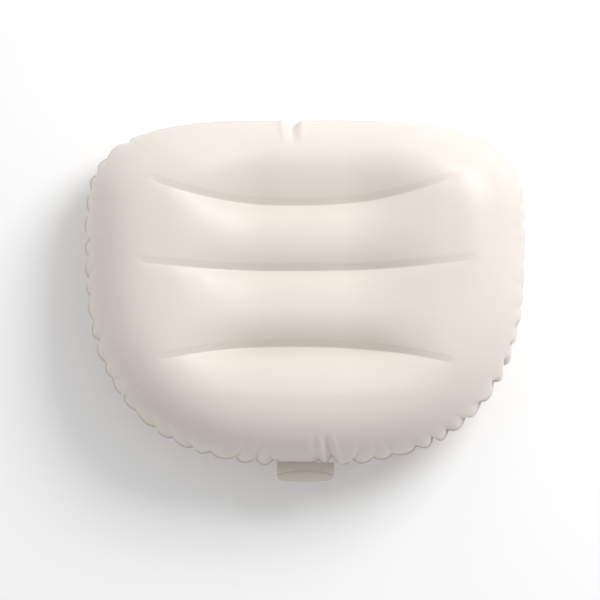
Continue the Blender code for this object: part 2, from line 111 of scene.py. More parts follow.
# Creases from head to neck: y = centre + rise * |x / half|^CREASE_POWER + lean * x
CREASE_POWER = 2.3
CREASES = (
    {"web": "head_web", "centre": 0.0285, "rise": 0.0235, "lean": 0.018, "half": 0.140, "pull": 1.0},
    {"web": "middle_web", "centre": -0.0310, "rise": 0.0076, "lean": 0.007, "half": 0.150, "pull": 0.76},
    {"web": "neck_web", "centre": -0.0990, "rise": -0.0145, "lean": -0.010, "half": 0.131, "pull": 0.95},
)
FADE_START = 0.32
FADE_END = 1.08
CREASE_END_STEPS = 30

# Where the head tube's crown lies, and how far the outer creases' pull reaches at the least
HEAD_CREST = 0.0795
HEAD_LEAST_REACH = 0.016
NECK_LEAST_REACH = 0.020

# Height of the tubes' crowns over the seam plane along the middle, from the neck to the head
CROWN_Y = np.array([-0.1421, -0.0626, 0.0024, 0.0606])
CROWN_HEIGHT = np.array([0.0574, 0.0490, 0.0460, 0.0456])

# Power of the superellipse that the rim's cross-section follows
SECTION_POWER = 2.35

# Swelling towards the sides: where it starts and is in full, as distances from the middle, and the
# crowns that it reaches on the upper sheet (1) and the lower sheet (-1)
SWELL_START = 0.035
SWELL_CREST = 0.125
SIDE_CROWN = {1: 0.0600, -1: 0.0490}

# Mesh density
COLUMNS = 150
BAND_ROWS = (43, 46, 54, 61)
ROW_CROWDING = 0.55
RIM_RINGS = 18
RING_CROWDING = 1.35
CORE_INSET = 0.030
HEAD_CORNER = 0.60
NECK_CORNER = 0.58
CURVE_SAMPLES = 4000
OUTWARD_PROBE = 0.02

# Puckers of the welded rim: lobes between notches, each with its own strength, reach and skew
PUCKER_PITCH = 0.0190
PUCKER_SCATTER = 0.17
PUCKER_DEPTH = 0.0046
PUCKER_LIFT = 0.0009
PUCKER_SEED = 301
LEAST_STRENGTH = 0.45
STRENGTH_SPREAD = 0.95
STRENGTH_POWER = 1.6
LOBE_REACH = (0.018, 0.032)
LOBE_SKEW = 0.45
LOBE_POWER = 0.58
LOBE_LEVEL = 0.66
REACH_POWER = 1.5
RIM_FADE = 0.35

# Calm stretches of the seam: the middle of the head edge, and the tab
CALM_HEAD = 0.148
CALM_HEAD_RAMP = 0.02
CALM_SHARE = 0.10
TAB_SHARE = 0.05
TAB_RAMP = 0.008

# Parts of the seam, as the places where each starts and where it is in full
PETALS_X = (0.085, 0.13)
PETALS_Y = (-0.045, -0.075)
RIGHT_X = (0.13, 0.17)
LEFT_X = (-0.13, -0.17)
FRONT_Y = (-0.15, -0.18)

# How much each part changes the lobes' strength and reach, and leans the petals clockwise
PETAL_GAIN = 0.25
RIGHT_LOSS = 0.40
LEFT_GAIN = 0.30
FRONT_GAIN = 0.55
PETAL_REACH_LOSS = 0.40
LEFT_REACH_LOSS = 0.30
FRONT_REACH_LOSS = 0.22
PETAL_BIAS = 0.5

# Pockets at the notches between the petals
POCKET_DEPTH = 0.0042
POCKET_WIDTH = 0.0024
POCKET_REACH = 0.014
POCKET_START = 0.004

# Deep tucks: place on the head edge (end 1) or the neck edge (end -1), depth, width, run inwards
HEAD_TUCK = {"x": -0.0125, "end": 1, "depth": 0.0075, "width": 0.0042, "reach": 0.034, "slant": 0}
RIGHT_TUCK = {"x": 0.0245, "end": -1, "depth": 0.0062, "width": 0.0032, "reach": 0.046, "slant": 0.1}
LEFT_TUCK = {"x": -0.0275, "end": -1, "depth": 0.0026, "width": 0.0034, "reach": 0.010, "slant": -0.1}
NECK_PLEAT = {"x": 0.0130, "end": -1, "depth": 0.0024, "width": 0.0034, "reach": 0.046, "slant": 0.05}
TUCK_POWER = 1.4
NOTCHED_TUCKS = (HEAD_TUCK, RIGHT_TUCK, LEFT_TUCK)
TUCKS = NOTCHED_TUCKS + (NECK_PLEAT,)

# Ridges along both sides of a tuck, placed and shaped in widths of the tuck
RIDGE_SHARE = 0.40
RIDGE_START = 0.005
RIDGE_PLACE = 2.2
RIDGE_SHARPNESS = 1.5

# Cloth simulation. No point gets as far as FARTHEST_MOVE at this pressure.
SIM_FRAMES = 30
FARTHEST_MOVE = 0.002
TAB_HOLD = 0.8
CLOTH_SETTINGS = {
    "quality": 7,
    "mass": 0.02,
    "tension_stiffness": 80,
    "compression_stiffness": 60,
    "shear_stiffness": 15,
    "bending_stiffness": 0.4,
    "tension_damping": 20,
    "compression_damping": 20,
    "shear_damping": 20,
    "bending_damping": 1,
    "air_damping": 3,
    "use_pressure": True,
    "uniform_pressure_force": 9,
    "vertex_group_mass": "pinned",
    "pin_stiffness": 20,
}

# Valve: height of its collar's top over the flat patch under its flange, and radii in the film
COLLAR_TOP = 0.0024
VALVE_PATCH = 0.0165
VALVE_DIMPLE = 0.030
VALVE_HOLE = 0.0105

# Tab: two plies that start inside the seam, and bend over a short run past the hinge
TAB_ROOT_GAP = 0.001
TAB_ROOT = 0.0018
TAB_COLUMNS = 64
TAB_ROWS = 30
TAB_CROWDING = 1.25
TAB_RIPPLE = 0.00018
TAB_RIPPLE_ACROSS = 3.1
TAB_RIPPLE_ALONG = 5
SHORT_PLY = {"corner": 0.0015, "arch": 0.003, "height": 0.0004, "curl": 0.0003}
LONG_PLY = {"corner": 0.005, "arch": -0.0008, "height": -0.0004, "curl": -0.0032}

# Colours
UPPER_CREAM = (0.735, 0.674, 0.612)
LOWER_CREAM = (0.72, 0.66, 0.60)
# The tab's cream is darker than the sheets' as painted shade: the pillow's shadow over the tab is painted
# into its colour
TAB_CREAM_PAINTED_SHADE = (0.645, 0.585, 0.52)
WEB_CREAM = (0.72, 0.67, 0.60)
VALVE_CREAM = (0.72, 0.67, 0.60)
SILICONE_GREY = (0.66, 0.66, 0.63)
FLOOR_WHITE = (0.985, 0.985, 0.99)

# Film surface: noise scales of the clouding, gloss, ripples and grain, and their strengths
CLOUD_SCALE = 9
GLOSS_SCALE = 42
GLOSS_SPREAD = 0.05
RIPPLE_SCALE = 38
RIPPLE_STRENGTH = 0.10
RIPPLE_DEPTH = 0.0010
GRAIN_SCALE = 1500
GRAIN_DEPTH = 0.00008

# Stage, lights and camera
FLOOR_SIZE = 8
FLOOR_DROP = 0.0002
KEY_LIGHT = {"position": (1.12, 1.14, 1.46), "target": (0, 0, 0.03), "size": 1.15, "energy": 29}
FILL_LIGHT = {"position": (-1.6, -0.45, 0.40), "target": (0, 0, 0.05), "size": 1.2, "energy": 1.4}
WORLD_AT_NECK = 0.41
WORLD_AT_HEAD = 0.83
CAMERA_LENS = 150
CAMERA_PLACE = (-0.0050, -0.0004, 2.336)


# ---------------------------------------------------------------- outline and heights
def smoothstep(low, high, value):
    share = np.clip((value - low) / (high - low), 0, 1)
    return share * share * (3 - 2 * share)


def half_outline(y):
    """Depth and exponent of the outline's half that holds each y."""
    head = np.asarray(y) >= 0
    return np.where(head, HEAD_DEPTH, NECK_DEPTH), np.where(head, HEAD_EXPONENT, NECK_EXPONENT)


def inset_of(x, y):
    """How far the outline must shrink to pass through each point, by bisection."""
    depth, exponent = half_outline(y)
    low = np.zeros_like(x)
    high = np.minimum(HALF_WIDTH - np.abs(x), depth - np.abs(y))
    for _ in range(BISECTIONS):
        middle = (low + high) / 2
        across = np.abs(x) / np.maximum(HALF_WIDTH - middle, 1e-6)
        along = np.abs(y) / np.maximum(depth - middle, 1e-6)
        inside = across**exponent + along**exponent < 1
        low = np.where(inside, middle, low)
        high = np.where(inside, high, middle)
    return (low + high) / 2


def rim_radius(x, y, side_crown):
    """Radius of the round rim, and height of the tubes' crowns, at each place."""
    crown = np.interp(y, CROWN_Y, CROWN_HEIGHT)
    rise = np.maximum(side_crown - crown, 0)
    return crown + rise * smoothstep(SWELL_START, SWELL_CREST, np.abs(x))


def crease_line(crease, x):
    bow = crease["rise"] * np.abs(x / crease["half"]) ** CREASE_POWER
    return crease["centre"] + bow + crease["lean"] * x


def smooth_square(x, y, side_crown):
    """Square of the height that a sheet would have with no crease in it."""
    radius = rim_radius(x, y, side_crown)
    share = np.clip((inset_of(x, y) - SEAM_INSET) / radius, 0, 1)
    return radius**2 * (1 - (1 - share) ** SECTION_POWER) ** (2 / SECTION_POWER)


def welded_band(crease, x, past):
    """How deep the band beside a crease lies, where past is the distance headwards of the crease."""
    side = np.maximum(np.abs(x) - crease["half"] + BAND_WIDTH / 2, 0)
    outside = np.hypot(side, past - BAND_WIDTH / 2) - BAND_WIDTH / 2
    outside = np.where(side > 0, outside, np.abs(past - BAND_WIDTH / 2) - BAND_WIDTH / 2)
    step = 1 - smoothstep(-BAND_SOFTNESS, BAND_SOFTNESS, outside)
    ledge = np.where(past > 0, 1 - past / BAND_WIDTH, 1 + past / BAND_RECOVERY)
    power = np.where(past > 0, LEDGE_POWER_HEADWARDS, LEDGE_POWER_NECKWARDS)
    ledge = np.clip(ledge, 0, 1) ** power
    half = crease["half"]
    ended = 1 - smoothstep(half - BAND_END_RUN, half + BAND_OVERRUN, np.abs(x))
    held = 1 - smoothstep(FADE_START, FADE_END, np.abs(x) / crease["half"])
    return BAND_STEP * step + BAND_DROP * ledge * ended * (LEDGE_AT_ENDS + (1 - LEDGE_AT_ENDS) * held)


def core_height(x, y, side_crown):
    """Height of a sheet over the seam plane, creases included."""
    lines = [crease_line(crease, x) for crease in CREASES]
    neck_crown = SEAM_INSET + CROWN_HEIGHT[0] - NECK_DEPTH
    above = [np.maximum(HEAD_CREST - lines[0], HEAD_LEAST_REACH)]
    above += [(upper - lower) / 2 for upper, lower in zip(lines, lines[1:])]
    below = above[1:] + [np.maximum(lines[2] - neck_crown, NECK_LEAST_REACH)]
    square = smooth_square(x, y, side_crown)
    sunk = np.zeros_like(x)
    for crease, line, reach_up, reach_down in zip(CREASES, lines, above, below):
        held = 1 - smoothstep(FADE_START, FADE_END, np.abs(x) / crease["half"])
        depth = np.maximum(smooth_square(x, line, 0) - WEB_HALF_HEIGHT**2, 0) * held * crease["pull"]
        reach = np.where(y > line, reach_up, reach_down)
        away = np.hypot(y - line, CREASE_ROUNDING) - CREASE_ROUNDING
        square = square - depth * np.clip(1 - away / reach, 0, 1) ** 2
        sunk += welded_band(crease, x, y - line)
    return np.sqrt(np.maximum(square, 1e-8)) - sunk


# ---------------------------------------------------------------- plan of the mesh
def border_point(y, side):
    """Point of the core's border at a given y, on one side."""
    depth, exponent = half_outline(y)
    along = abs(y) / (depth - CORE_INSET)
    across = (1 - along**exponent) ** (1 / exponent)
    return side * across * (HALF_WIDTH - CORE_INSET), y


def crease_end(crease, side):
    """Where a crease's line meets the core's border."""
    x = side * (HALF_WIDTH - CORE_INSET)
    for _ in range(CREASE_END_STEPS):
        x, y = border_point(crease_line(crease, x), side)
    return x, y


def outline_angle(x, y):
    """Angle that gives a border point in the superellipse's own parameter."""
    depth, exponent = half_outline(y)
    across = (abs(x) / (HALF_WIDTH - CORE_INSET)) ** (exponent / 2)
    along = (abs(y) / (depth - CORE_INSET)) ** (exponent / 2)
    return math.copysign(math.atan2(along, across), y)


def crowded(count):
    """count + 1 shares from 0 to 1, closer together towards both ends."""
    steps = np.linspace(0, 1, count + 1)
    return steps - ROW_CROWDING * np.sin(math.tau * steps) / math.tau


def border_curve(start, end, shares, side):
    """Points of the core's border between two of its points, at shares of the run."""
    angle = np.linspace(outline_angle(*start), outline_angle(*end), CURVE_SAMPLES)
    depth, exponent = half_outline(angle)
    x = side * np.cos(angle) ** (2 / exponent) * (HALF_WIDTH - CORE_INSET)
    y = np.sign(angle) * np.abs(np.sin(angle)) ** (2 / exponent) * (depth - CORE_INSET)
    run = np.concatenate([[0], np.cumsum(np.hypot(np.diff(x), np.diff(y)))])
    steps = shares * run[-1]
    return np.stack([np.interp(steps, run, x), np.interp(steps, run, y)], 1)


def end_curve(corner, end):
    """The core's head or neck border between its corners, left to right."""
    depth, exponent = half_outline(end)
    across = np.linspace(-corner, corner, COLUMNS + 1)
    along = end * (1 - np.abs(across) ** exponent) ** (1 / exponent)
    return np.stack([across * (HALF_WIDTH - CORE_INSET), along * (depth - CORE_INSET)], 1)


def core_plan():
    """Grid of plan points (row, column, xy) from the head border to the neck border."""
    keys = [end_curve(HEAD_CORNER, 1)]
    for crease in CREASES:
        x = np.linspace(crease_end(crease, -1)[0], crease_end(crease, 1)[0], COLUMNS + 1)
        keys.append(np.stack([x, crease_line(crease, x)], 1))
    keys.append(end_curve(NECK_CORNER, -1))
    column = np.linspace(0, 1, COLUMNS + 1)[:, None]
    rows = []
    for upper, lower, count in zip(keys, keys[1:], BAND_ROWS):
        shares = crowded(count)
        left = border_curve(upper[0], lower[0], shares, -1)
        right = border_curve(upper[-1], lower[-1], shares, 1)
        for step, share in enumerate(shares[:-1]):
            row = upper * (1 - share) + lower * share
            shift_left, shift_right = left[step] - row[0], right[step] - row[-1]
            rows.append(row + shift_left * (1 - column) + shift_right * column)
    rows.append(keys[-1])
    return np.array(rows)


def border_indices(row_count):
    """Flat indices of the core grid's border, clockwise from the head's left corner."""
    last = row_count - 1
    wide = COLUMNS + 1
    border = list(range(wide))
    border += [r * wide + COLUMNS for r in range(1, last + 1)]
    border += [last * wide + c for c in range(COLUMNS - 1, -1, -1)]
    border += [r * wide for r in range(last - 1, 0, -1)]
    return np.array(border)


class Plan:
    """What both sheets share: the core's grid, and the spokes that cross the rim."""

    def __init__(self):
        grid = core_plan()
        self.row_count = len(grid)
        self.core = grid.reshape(-1, 2)
        self.border = border_indices(self.row_count)
        edge = self.core[self.border]
        self.depth = half_outline(edge[:, 1])[0]
        self.across = edge[:, 0] / (HALF_WIDTH - CORE_INSET)
        self.along = edge[:, 1] / (self.depth - CORE_INSET)
        self.radius = {side: rim_radius(*edge.T, crown) for side, crown in SIDE_CROWN.items()}
        seam = self.place(WELD_WIDTH)
        steps = np.linalg.norm(np.roll(seam, -1, 0) - seam, axis=1)
        self.run = np.concatenate([[0], np.cumsum(steps)[:-1]])
        self.length = steps.sum()
        self.edge_x, self.edge_y = seam.T
        outward = seam - self.place(WELD_WIDTH + OUTWARD_PROBE)
        self.outward = outward / np.linalg.norm(outward, axis=1)[:, None]

    def place(self, inset):
        """Plan points of all spokes at an inset."""
        x = self.across * (HALF_WIDTH - inset)
        return np.stack([x, self.along * (self.depth - inset)], 1)

    def ring_angle(self, share, side):
        """Angle round the rim's cross-section, from the core's border at share 0 to the seam at 1."""
        reached = 1 - (CORE_INSET - SEAM_INSET) / self.radius[side]
        return np.arccos(reached ** (SECTION_POWER / 2)) * (1 - share)

    def ring(self, share, side):
        """Smooth rim, from the core's border at share 0 to the seam at share 1."""
        angle = self.ring_angle(share, side)
        power = 2 / SECTION_POWER
        widened = (SEAM_INSET - WELD_WIDTH) * smoothstep(0, 1, share)
        radius = self.radius[side]
        plan = self.place(SEAM_INSET + radius * (1 - np.cos(angle) ** power) - widened)
        return np.column_stack([plan, side * radius * np.sin(angle) ** power])

    def spoke_at(self, x, end):
        """Index of the spoke nearest to x on the head edge (end 1) or the neck edge (end -1)."""
        miss = np.abs(self.edge_x - x) + (np.sign(self.edge_y) != end)
        return int(np.argmin(miss))


# ---------------------------------------------------------------- puckers of the rim
class Gathers:
    """The pattern of lobes and tucks that the welded seam is gathered into."""

    def __init__(self, plan):
        self.plan = plan
        self.rng = np.random.default_rng(PUCKER_SEED)
        anchors = sorted(plan.run[plan.spoke_at(t["x"], t["end"])] for t in NOTCHED_TUCKS)
        notches = []
        for start, end in zip(anchors, anchors[1:] + [anchors[0] + plan.length]):
            notches += self.fill(start, end)
        self.notches = np.array(notches + [notches[0] + plan.length])
        count = len(notches)
        self.lobe_strength = LEAST_STRENGTH + STRENGTH_SPREAD * self.rng.random(count) ** STRENGTH_POWER
        self.lobe_reach = self.rng.uniform(*LOBE_REACH, count)
        self.lobe_skew = self.rng.uniform(-LOBE_SKEW, LOBE_SKEW, count)

    def fill(self, start, end):
        """Unevenly spaced notches from start up to, but without, end."""
        count = max(1, round((end - start) / PUCKER_PITCH))
        shares = np.arange(count, dtype=float)
        shares[1:] += self.rng.uniform(-PUCKER_SCATTER, PUCKER_SCATTER, count - 1)
        return (start + shares / count * (end - start)).tolist()

    def phase(self, run):
        """Number of notches passed, with a fraction, at each place along the seam."""
        first = self.notches[0]
        wrapped = (run - first) % self.plan.length + first
        return np.interp(wrapped, self.notches, np.arange(len(self.notches)))

    def at_notches(self, values, phase):
        """Per-notch values spread along the seam."""
        return np.interp(phase, np.arange(len(values) + 1), np.append(values, values[0]))

    def region(self):
        """How strongly each part of the seam is gathered."""
        x, y = self.plan.edge_x, self.plan.edge_y
        corner = smoothstep(CALM_HEAD, CALM_HEAD + CALM_HEAD_RAMP, np.abs(x))
        head = np.where(y > 0, CALM_SHARE + (1 - CALM_SHARE) * corner, 1)
        tab = np.where(y < 0, smoothstep(TAB_HIGH.x, TAB_HIGH.x + TAB_RAMP, np.abs(x)), 1)
        right = smoothstep(*RIGHT_X, x) * (1 - self.petals())
        front = smoothstep(*FRONT_Y, y)
        left = smoothstep(*LEFT_X, x)
        gain = 1 + PETAL_GAIN * self.petals() - RIGHT_LOSS * right + LEFT_GAIN * left + FRONT_GAIN * front
        return head * (TAB_SHARE + (1 - TAB_SHARE) * tab) * gain

    def petals(self):
        """Share of each part of the seam where the lobes overlap like petals."""
        x, y = self.plan.edge_x, self.plan.edge_y
        return smoothstep(*PETALS_X, x) * smoothstep(*PETALS_Y, y)

    def shift(self, share, side):
        """Outward and upward shifts of the spokes, at a share of the way to the seam."""
        plan = self.plan
        distance = plan.radius[side] * plan.ring_angle(share, side)
        rim_fade = smoothstep(0, RIM_FADE, share)
        base = self.phase(plan.run)
        skew = self.at_notches(self.lobe_skew, base)
        reach = self.at_notches(self.lobe_reach, base)
        left = smoothstep(*LEFT_X, plan.edge_x)
        reach = reach * (1 - PETAL_REACH_LOSS * self.petals() - LEFT_REACH_LOSS * left)
        reach = reach * (1 - FRONT_REACH_LOSS * smoothstep(*FRONT_Y, plan.edge_y))
        strength = self.at_notches(self.lobe_strength, base) * self.region()
        fade = strength * np.exp(-((distance / reach) ** REACH_POWER)) * rim_fade
        phase = self.phase(plan.run + skew * distance)
        bias = 1 + PETAL_BIAS * self.petals()
        lobe = np.abs(np.sin(math.pi * (phase % 1) ** bias)) ** LOBE_POWER - LOBE_LEVEL
        wave = np.sin(math.pi * phase)
        outward = PUCKER_DEPTH * fade * lobe
        missed = (phase - np.round(phase)) * PUCKER_PITCH / POCKET_WIDTH
        pocket = np.exp(-(missed**2) - (distance / POCKET_REACH) ** 2)
        pocket = pocket * smoothstep(0, POCKET_START, distance)
        outward -= POCKET_DEPTH * self.petals() * pocket
        upward = PUCKER_LIFT * fade * wave
        for tuck in TUCKS:
            centre = plan.run[plan.spoke_at(tuck["x"], tuck["end"])]
            along = (plan.run - centre + plan.length / 2) % plan.length - plan.length / 2
            along = np.abs(along - tuck["slant"] * distance) / tuck["width"]
            tuck_fade = np.exp(-((distance / tuck["reach"]) ** REACH_POWER)) * rim_fade
            outward -= tuck["depth"] * np.exp(-(along**TUCK_POWER)) * tuck_fade
            ridge = np.exp(-RIDGE_SHARPNESS * (along - RIDGE_PLACE) ** 2)
            ridge = ridge * (1 - np.exp(-distance / RIDGE_START))
            outward += RIDGE_SHARE * tuck["depth"] * ridge * tuck_fade
        return outward, upward

    def gathered_ring(self, share, side):
        plan = self.plan
        angle = plan.ring_angle(share, side)
        outward, upward = self.shift(share, side)
        ring = plan.ring(share, side)
        ring[:, :2] += plan.outward * (outward * np.cos(angle))[:, None]
        ring[:, 2] += side * outward * np.sin(angle) + upward
        return ring


def rest_rim(plan):
    """Rings of the gathered rim: the upper sheet's down to the seam, then the lower sheet's."""
    gathers = Gathers(plan)
    shares = 1 - (1 - np.linspace(0, 1, RIM_RINGS + 1)) ** RING_CROWDING
    upper = [gathers.gathered_ring(share, 1) for share in shares]
    lower = [gathers.gathered_ring(share, -1) for share in shares[:-1]]
    return np.array(upper + lower)


def ring_faces(inner, outer):
    """Quads between two rings of vertex indices, wound for the upper sheet."""
    return np.stack([inner, np.roll(inner, -1), np.roll(outer, -1), outer], 1)


def inflated_rim(plan):
    """Let air pressure settle the gathered rim, as cloth held at the core's border."""
    rest = rest_rim(plan)
    count = len(plan.border)
    rings = [np.arange(count) + i * count for i in range(len(rest))]
    upper = rings[: RIM_RINGS + 1]
    lower = rings[RIM_RINGS + 1 :] + [upper[-1]]
    faces = [ring_faces(a, b) for a, b in zip(upper, upper[1:])]
    faces += [ring_faces(a, b)[:, ::-1] for a, b in zip(lower, lower[1:])]
    band = add_mesh("rim_band", rest.reshape(-1, 3), np.concatenate(faces))
    pinned = band.vertex_groups.new(name="pinned")
    for ring in (upper[0], upper[1], lower[0], lower[1]):
        pinned.add(ring.tolist(), 1.0, "REPLACE")
    at_tab = (np.abs(plan.edge_x) < TAB_HIGH.x) & (plan.edge_y < 0)
    pinned.add(upper[-1][at_tab].tolist(), TAB_HOLD, "REPLACE")
    cloth = band.modifiers.new("cloth", "CLOTH")
    settings = cloth.settings
    for name, value in CLOTH_SETTINGS.items():
        setattr(settings, name, value)
    settings.effector_weights.gravity = 0
    cloth.collision_settings.use_collision = False
    cloth.point_cache.frame_start = 1
    cloth.point_cache.frame_end = SIM_FRAMES
    scene = bpy.context.scene
    for number in range(1, SIM_FRAMES + 1):
        scene.frame_set(number)
    shaped = band.evaluated_get(bpy.context.evaluated_depsgraph_get())
    points = np.zeros(rest.size, np.float32)
    shaped.data.vertices.foreach_get("co", points)
    bpy.data.objects.remove(band, do_unlink=True)
    scene.frame_set(1)
    moved = points.reshape(rest.shape) - rest
    distance = np.linalg.norm(moved, axis=2, keepdims=True)
    print(f"rim moved {distance.max():.5f} at most and {distance.mean():.5f} on average")
    return rest + moved * np.minimum(1, FARTHEST_MOVE / np.maximum(distance, 1e-9))


# ---------------------------------------------------------------- sheets
def seam_matrix():
    """From the seam plane's own frame, with its origin on the widest line, to the row frame."""
    across = Vector((1, 0, 0))
    turn = Matrix((across, -SLOPE, across.cross(-SLOPE))).transposed()
    centre = TAB_HINGE - SLOPE * (NECK_DEPTH + TAB_ROOT_GAP)
    return Matrix.Translation(centre) @ turn.to_4x4()


def to_row_frame(points):
    place = np.array(seam_matrix())
    return points @ place[:3, :3].T + place[:3, 3]


def grid_faces(row_count, wide):
    """Quads of a grid of vertices, wound for the upper sheet."""
    r, c = np.meshgrid(np.arange(row_count - 1), np.arange(wide - 1), indexing="ij")
    a = (r * wide + c).ravel()
    return np.stack([a, a + wide, a + wide + 1, a + 1], 1)


def sheet_surface(plan, rim, side):
    """Outer surface of one sheet in the row frame, and its faces."""
    height = core_height(*plan.core.T, SIDE_CROWN[side])
    first = 1 if side == 1 else RIM_RINGS + 2
    seam = rim[RIM_RINGS] + [0, 0, side * (FILM + SEAM_GAP)]
    rings = list(rim[first : first + RIM_RINGS - 1]) + [seam]
    for share in WELD_RING_SHARES:
        edge = seam.copy()
        edge[:, :2] += plan.outward * WELD_WIDTH * share
        rings.append(edge)
    count = len(plan.border)
    core = np.column_stack([plan.core, side * height])
    faces = [grid_faces(plan.row_count, COLUMNS + 1)]
    inner = plan.border
    for number in range(len(rings)):
        outer = len(core) + number * count + np.arange(count)
        faces.append(ring_faces(inner, outer))
        inner = outer
    points = to_row_frame(np.concatenate([core] + rings))
    points[:, 2] = np.maximum(points[:, 2], 0)
    return points, np.concatenate(faces)[:, ::side]


def valve_frame():
    """Centre of the flat patch under the valve's flange, and the patch's outward normal."""
    outward = np.array(Vector(JOINTS["plug_pull"]["axis"]).normalized())
    corners = np.array([v.co[:] for v in frame["nodes"]["valve_base"].data.vertices])
    middle = corners.mean(axis=0)
    level = (corners @ outward).max() - COLLAR_TOP
    return middle + outward * (level - middle @ outward), outward


def seat_valve(points, faces):
    """Flatten the lower sheet under the valve's flange, and leave the valve's hole open."""
    centre, outward = valve_frame()
    height = (points - centre) @ outward
    radius = np.linalg.norm(points - centre - height[:, None] * outward, axis=1)
    near = (radius < VALVE_DIMPLE) & (np.abs(height) < VALVE_DIMPLE)
    drop = np.where(near, height * (1 - smoothstep(VALVE_PATCH, VALVE_DIMPLE, radius)), 0)
    inside = near & (radius < VALVE_HOLE)
    faces = faces[~inside[faces].all(axis=1)]
    used = np.unique(faces)
    renumber = np.zeros(len(points), int)
    renumber[used] = np.arange(len(used))
    return (points - drop[:, None] * outward)[used], renumber[faces]


def add_mesh(name, points, faces):
    mesh = bpy.data.meshes.new(name)
    mesh.from_pydata(points.tolist(), [], faces.tolist())
    mesh.shade_smooth()
    obj = bpy.data.objects.new(name, mesh)
    bpy.context.scene.collection.objects.link(obj)
    return obj


def finish_piece(obj, node, material, thickness, offset=0):
    """Thicken a sheet of film, dress it, and let it stand for its CAD node."""
    solidify = obj.modifiers.new("thickness", "SOLIDIFY")
    solidify.thickness = thickness
    solidify.offset = offset
    obj.data.materials.append(material)
    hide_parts(node)


def build_sheets(upper_surface, lower_surface):
    upper = add_mesh("upper_film", *upper_surface)
    material = film_material("satin_vinyl", UPPER_CREAM, 0.42)
    finish_piece(upper, "upper_sheet", material, FILM, -1)
    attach(upper, "pillow")
    lower = add_mesh("lower_film", *seat_valve(*lower_surface))
    material = film_material("satin_vinyl_lower", LOWER_CREAM, 0.45)
    finish_piece(lower, "lower_sheet", material, FILM, -1)
    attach(lower, "pillow")


# ---------------------------------------------------------------- webs
def build_web(crease, row, upper_points, lower_points, material):
    """A tie strip under one crease, with a flange that runs inside each sheet's welded band."""
    wide = COLUMNS + 1
    start = row * wide
    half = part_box(crease["web"])[1].x
    columns = [c for c in range(wide) if abs(upper_points[start + c, 0]) <= half]
    flange = [[start - step * wide + c for c in columns] for step in range(WEB_FLANGE_ROWS + 1)]
    lower = [lower_points[line] for line in flange]
    upper = [upper_points[line] for line in flange]
    profile = [line - [0, 0, WEB_CLEARANCE] for line in upper[::-1]]
    lower = [line + [0, 0, WEB_CLEARANCE] for line in lower]
    across = np.linspace(-1, 1, len(columns))
    for share in np.linspace(0, 1, WEB_WALL_ROWS + 2)[1:-1]:
        line = upper[0] * (1 - share) + lower[0] * share
        slack = WEB_SLACK * math.sin(math.pi * share) * smoothstep(WEB_SLACK_START, 1.0, np.abs(across))
        line[:, 1] += slack * np.sin(WEB_WAVES * across + WEB_WAVE_DRIFT * share)
        profile.append(line)
    profile += lower
    name = crease["web"].replace("web", "tie_strip")
    web = add_mesh(name, np.concatenate(profile), grid_faces(len(profile), len(columns)))
    finish_piece(web, crease["web"], material, WEB_THICKNESS)
    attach(web, "pillow")


# ---------------------------------------------------------------- tab
def build_tab_ply(name, node, low, ply, material):
    """One ply of the tab as a fine curved sheet, its root in the seam and its free end at low."""
    length = (TAB_HINGE.y - low.y) / abs(SLOPE.y)
    corner = ply["corner"]
    half = TAB_HIGH.x
    inner = half - corner
    across = np.linspace(-1, 1, TAB_COLUMNS + 1)
    across = np.sign(across) * (1 - (1 - np.abs(across)) ** TAB_CROWDING)
    x = across * half
    past = np.clip(np.abs(x) - inner, 0, corner * 0.9999)
    edge = length - ply["arch"] * (1 - np.clip(x / inner, -1, 1) ** 2) - corner
    edge += np.sqrt(corner**2 - past**2)
    rows = []
    for share in np.linspace(0, 1, TAB_ROWS + 1):
        reach = (edge + TAB_ROOT) * share - TAB_ROOT
        out = np.clip(reach, 0, None) / length
        ripple = np.sin(TAB_RIPPLE_ACROSS * across + TAB_RIPPLE_ALONG * share)
        lift = ply["height"] + ply["curl"] * out**2 + TAB_RIPPLE * out * ripple
        rows.append(np.column_stack([x, -NECK_DEPTH - TAB_ROOT_GAP - reach, lift]))
    points = to_row_frame(np.concatenate(rows))
    sheet = add_mesh(name, points, grid_faces(len(rows), len(x)))
    finish_piece(sheet, node, material, FILM)
    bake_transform(sheet)


def build_tab():
    # Painted shade: the tab's darker cream stands in for the shadow that the pillow casts over the tab
    material = film_material("tab_film_painted_shade", TAB_CREAM_PAINTED_SHADE, 0.42)
    build_tab_ply("tab_short_ply", "tab_upper_ply", TAB_UPPER_LOW, SHORT_PLY, material)
    build_tab_ply("tab_long_ply", "tab_lower_ply", TAB_LOW, LONG_PLY, material)


# ---------------------------------------------------------------- materials
def new_material(name):
    material = bpy.data.materials.new(name)
    material.use_nodes = True
    return material, material.node_tree, material.node_tree.nodes["Principled BSDF"]


def add_noise(tree, coordinates, scale, detail=2.0):
    noise = tree.nodes.new("ShaderNodeTexNoise")
    noise.inputs["Scale"].default_value = scale
    noise.inputs["Detail"].default_value = detail
    tree.links.new(coordinates, noise.inputs["Vector"])
    return noise.outputs["Fac"]


def add_range(tree, value, low, high):
    """Map a noise value onto a range."""
    mapping = tree.nodes.new("ShaderNodeMapRange")
    mapping.inputs["From Min"].default_value = 0.3
    mapping.inputs["From Max"].default_value = 0.7
    mapping.inputs["To Min"].default_value = low
    mapping.inputs["To Max"].default_value = high
    tree.links.new(value, mapping.inputs["Value"])
    return mapping.outputs["Result"]


def add_bump(tree, height, strength, distance, normal=None):
    bump = tree.nodes.new("ShaderNodeBump")
    bump.inputs["Strength"].default_value = strength
    bump.inputs["Distance"].default_value = distance
    tree.links.new(height, bump.inputs["Height"])
    if normal:
        tree.links.new(normal, bump.inputs["Normal"])
    return bump.outputs["Normal"]


